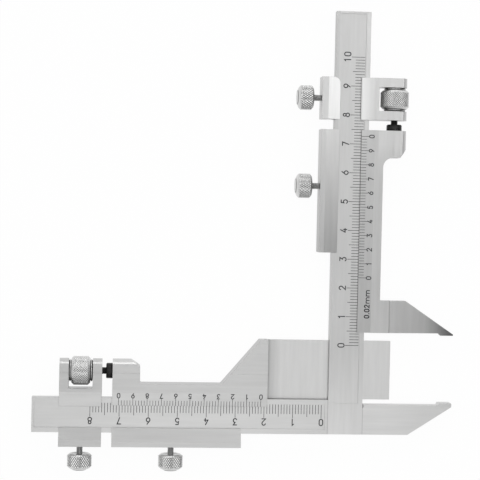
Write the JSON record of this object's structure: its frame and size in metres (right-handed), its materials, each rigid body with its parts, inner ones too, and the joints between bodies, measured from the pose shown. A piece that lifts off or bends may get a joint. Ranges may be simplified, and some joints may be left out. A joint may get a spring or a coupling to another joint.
{
  "type": "gear tooth vernier caliper",
  "caption": "Gear tooth caliper: an addendum arm sets a tongue on the tooth's top, and a thickness arm closes jaws on its flanks, each with a vernier and fine adjustment.",
  "frame": {"origin": "centre of the fixed jaw's measuring face, halfway through the beams' thickness", "axes": "+X along the level addendum beam towards the jaw tips, +Y up the thickness beam towards a larger tooth thickness, +Z out of the scale faces, with the caliper lying on its back"},
  "size_m": [0.1457, 0.1599, 0.01],
  "materials": {
    "satin_steel": "satin ground and plated",
    "knurled_steel": "turned and knurled, plated",
    "black_steel": "black oxide",
    "spring_bronze": "rolled strip"
  },
  "bodies": {
    "frame": {"thickness_beam": "satin_steel", "addendum_beam": "satin_steel", "lap_rivets": "satin_steel"},
    "thickness_clamp_group": {"thickness_clamp": "satin_steel", "thickness_clamp_spring": "spring_bronze"},
    "thickness_slider_group": {"thickness_slider": "satin_steel", "thickness_slider_spring": "spring_bronze", "thickness_adjusting_screw": "black_steel"},
    "thickness_nut": {"thickness_adjusting_nut": "knurled_steel"},
    "thickness_clamp_lock": {"thickness_clamp_lock_screw": "knurled_steel"},
    "thickness_slider_lock": {"thickness_slider_lock_screw": "knurled_steel"},
    "addendum_clamp_group": {"addendum_clamp": "satin_steel", "addendum_clamp_spring": "spring_bronze"},
    "addendum_slider_group": {"addendum_slider": "satin_steel", "addendum_slider_spring": "spring_bronze", "addendum_adjusting_screw": "black_steel", "tongue": "satin_steel", "tongue_rivets": "satin_steel"},
    "addendum_nut": {"addendum_adjusting_nut": "knurled_steel"},
    "addendum_clamp_lock": {"addendum_clamp_lock_screw": "knurled_steel"},
    "addendum_slider_lock": {"addendum_slider_lock_screw": "knurled_steel"}
  },
  "joints": [
    {"name": "thickness_coarse_slide", "type": "slide", "parent": "frame", "child": "thickness_clamp_group", "axis": [0, 1, 0], "range_m": [-0.02062, 0.0223]},
    {"name": "thickness_nut_turn", "type": "hinge", "parent": "thickness_clamp_group", "child": "thickness_nut", "pos_m": [-0.0201, 0.10547, 0], "axis": [0, 1, 0], "range_deg": [-970, 2410]},
    {"name": "thickness_fine_slide", "type": "slide", "parent": "thickness_clamp_group", "child": "thickness_slider_group", "axis": [0, 1, 0], "range_m": [-0.003, 0.0012]},
    {"name": "thickness_clamp_lock_turn", "type": "hinge", "parent": "thickness_clamp_group", "child": "thickness_clamp_lock", "pos_m": [-0.046, 0.10547, 0], "axis": [1, 0, 0], "range_deg": [-720, 90]},
    {"name": "thickness_slider_lock_turn", "type": "hinge", "parent": "thickness_slider_group", "child": "thickness_slider_lock", "pos_m": [-0.046, 0.07495, 0], "axis": [1, 0, 0], "range_deg": [-720, 90]},
    {"name": "addendum_coarse_slide", "type": "slide", "parent": "frame", "child": "addendum_clamp_group", "axis": [-1, 0, 0], "range_m": [-0.01826, 0.0089]},
    {"name": "addendum_nut_turn", "type": "hinge", "parent": "addendum_clamp_group", "child": "addendum_nut", "pos_m": [-0.12693, 0.0099, 0], "axis": [-1, 0, 0], "range_deg": [-970, 2410]},
    {"name": "addendum_fine_slide", "type": "slide", "parent": "addendum_clamp_group", "child": "addendum_slider_group", "axis": [-1, 0, 0], "range_m": [-0.003, 0.0012]},
    {"name": "addendum_clamp_lock_turn", "type": "hinge", "parent": "addendum_clamp_group", "child": "addendum_clamp_lock", "pos_m": [-0.12693, -0.016, 0], "axis": [0, 1, 0], "range_deg": [-720, 90]},
    {"name": "addendum_slider_lock_turn", "type": "hinge", "parent": "addendum_slider_group", "child": "addendum_slider_lock", "pos_m": [-0.0956, -0.016, 0], "axis": [0, 1, 0], "range_deg": [-720, 90]}
  ],
  "couplings": [
    {"joint": "thickness_nut_turn", "follows": "thickness_fine_slide", "rad_per_m": -13963},
    {"joint": "addendum_nut_turn", "follows": "addendum_fine_slide", "rad_per_m": -13963}
  ]
}
